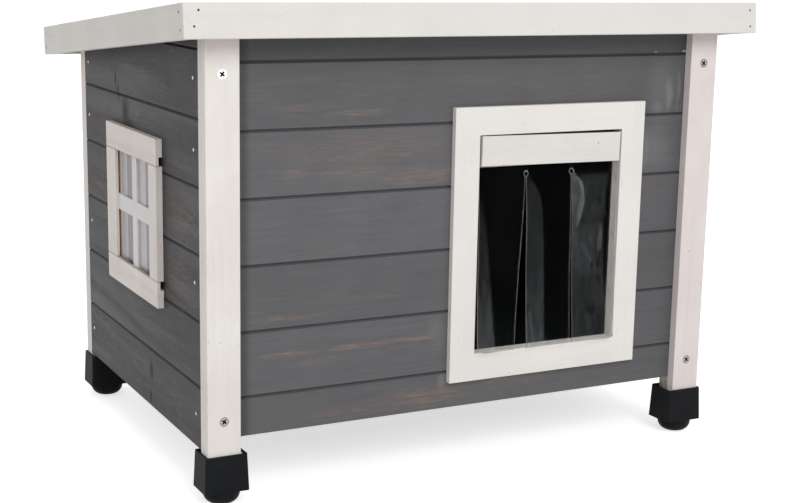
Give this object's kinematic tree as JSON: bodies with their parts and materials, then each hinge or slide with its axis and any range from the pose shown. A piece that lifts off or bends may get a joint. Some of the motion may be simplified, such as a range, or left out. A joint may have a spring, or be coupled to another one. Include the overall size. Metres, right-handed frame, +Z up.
{
  "type": "cat house",
  "caption": "Raised outdoor wooden cat house with a hinged sloping lid, framed doorway with a clear strip curtain, side window and capped adjustable feet.",
  "frame": {"origin": "on the floor under the feet, at the middle of the overall width and depth", "axes": "+X to the right seen from the front, +Y from the doorway wall to the back wall, +Z up"},
  "size_m": [0.57, 0.445, 0.4274],
  "materials": {
    "white_painted_wood": "satin white water-based paint",
    "grey_glazed_wood": "grey glaze with the grain showing",
    "raw_softwood": "planed, untreated",
    "roofing_felt": "mineral-faced bitumen felt",
    "black_plastic": "moulded, fine matt grain",
    "clear_soft_sheet": "clear soft plastic sheet",
    "clear_acrylic": "clear glossy sheet",
    "zinc_plated_steel": "bright zinc"
  },
  "bodies": {
    "house": {"back_wall_boards": "grey_glazed_wood", "corner_batten_back_left": "raw_softwood", "corner_batten_back_right": "raw_softwood", "corner_batten_front_left": "raw_softwood", "corner_batten_front_right": "raw_softwood", "curtain_back_strip": "raw_softwood", "curtain_batten": "white_painted_wood", "curtain_end_pins": "zinc_plated_steel", "curtain_header": "clear_soft_sheet", "door_frame_bottom_rail": "white_painted_wood", "door_frame_left_stile": "white_painted_wood", "door_frame_right_stile": "white_painted_wood", "door_frame_top_rail": "white_painted_wood", "door_posts": "raw_softwood", "floor_bearers": "raw_softwood", "floor_panel": "grey_glazed_wood", "foot_cap_back_left": "black_plastic", "foot_cap_back_right": "black_plastic", "foot_cap_front_left": "black_plastic", "foot_cap_front_right": "black_plastic", "foot_packers": "raw_softwood", "foot_shims": "white_painted_wood", "front_wall_boards": "grey_glazed_wood", "hinge_leaves_body": "zinc_plated_steel", "hinge_pins": "zinc_plated_steel", "hinge_screws_body": "zinc_plated_steel", "left_wall_boards": "grey_glazed_wood", "leg_board_back_left": "white_painted_wood", "leg_board_back_right": "white_painted_wood", "leg_board_front_left": "white_painted_wood", "leg_board_front_right": "white_painted_wood", "leg_screws": "zinc_plated_steel", "leg_strips": "white_painted_wood", "right_wall_boards": "grey_glazed_wood", "wall_nails": "zinc_plated_steel", "window_frame_bottom_rail": "white_painted_wood", "window_frame_far_stile": "white_painted_wood", "window_frame_near_stile": "white_painted_wood", "window_frame_top_rail": "white_painted_wood", "window_muntin_cross_bars": "white_painted_wood", "window_muntin_upright": "white_painted_wood", "window_pane": "clear_acrylic"},
    "lid": {"hinge_leaves_lid": "zinc_plated_steel", "hinge_screws_lid": "zinc_plated_steel", "roof_battens": "raw_softwood", "roof_board": "raw_softwood", "roof_brads": "zinc_plated_steel", "roof_fascia_back": "white_painted_wood", "roof_fascia_front": "white_painted_wood", "roof_fascia_left": "white_painted_wood", "roof_fascia_right": "white_painted_wood", "roof_felt": "roofing_felt"},
    "flap_left": {"curtain_flap_left": "clear_soft_sheet"},
    "flap_middle": {"curtain_flap_middle": "clear_soft_sheet"},
    "flap_right": {"curtain_flap_right": "clear_soft_sheet"},
    "glide_front_left": {"foot_glide_front_left": "black_plastic"},
    "glide_front_right": {"foot_glide_front_right": "black_plastic"},
    "glide_back_left": {"foot_glide_back_left": "black_plastic"},
    "glide_back_right": {"foot_glide_back_right": "black_plastic"}
  },
  "joints": [
    {"name": "lid_hinge", "type": "hinge", "parent": "house", "child": "lid", "pos_m": [0, 0.17835, 0.3772], "axis": [-1, 0, 0], "range_deg": [0, 60]},
    {"name": "flap_left_hinge", "type": "hinge", "parent": "house", "child": "flap_left", "pos_m": [0.0275, -0.19006, 0.2712], "axis": [1, 0, 0], "range_deg": [-75, 75], "stiffness_Nm_per_rad": 0.01, "springref_deg": -2.29},
    {"name": "flap_middle_hinge", "type": "hinge", "parent": "house", "child": "flap_middle", "pos_m": [0.078, -0.19006, 0.2712], "axis": [1, 0, 0], "range_deg": [-75, 75], "stiffness_Nm_per_rad": 0.01, "springref_deg": -2.29},
    {"name": "flap_right_hinge", "type": "hinge", "parent": "house", "child": "flap_right", "pos_m": [0.129, -0.19006, 0.2712], "axis": [1, 0, 0], "range_deg": [-75, 75], "stiffness_Nm_per_rad": 0.01, "springref_deg": -2.29},
    {"name": "glide_front_left_screw", "type": "slide", "parent": "house", "child": "glide_front_left", "axis": [0, 0, -1], "range_m": [0, 0.008]},
    {"name": "glide_front_right_screw", "type": "slide", "parent": "house", "child": "glide_front_right", "axis": [0, 0, -1], "range_m": [0, 0.008]},
    {"name": "glide_back_left_screw", "type": "slide", "parent": "house", "child": "glide_back_left", "axis": [0, 0, -1], "range_m": [0, 0.008]},
    {"name": "glide_back_right_screw", "type": "slide", "parent": "house", "child": "glide_back_right", "axis": [0, 0, -1], "range_m": [0, 0.008]}
  ]
}
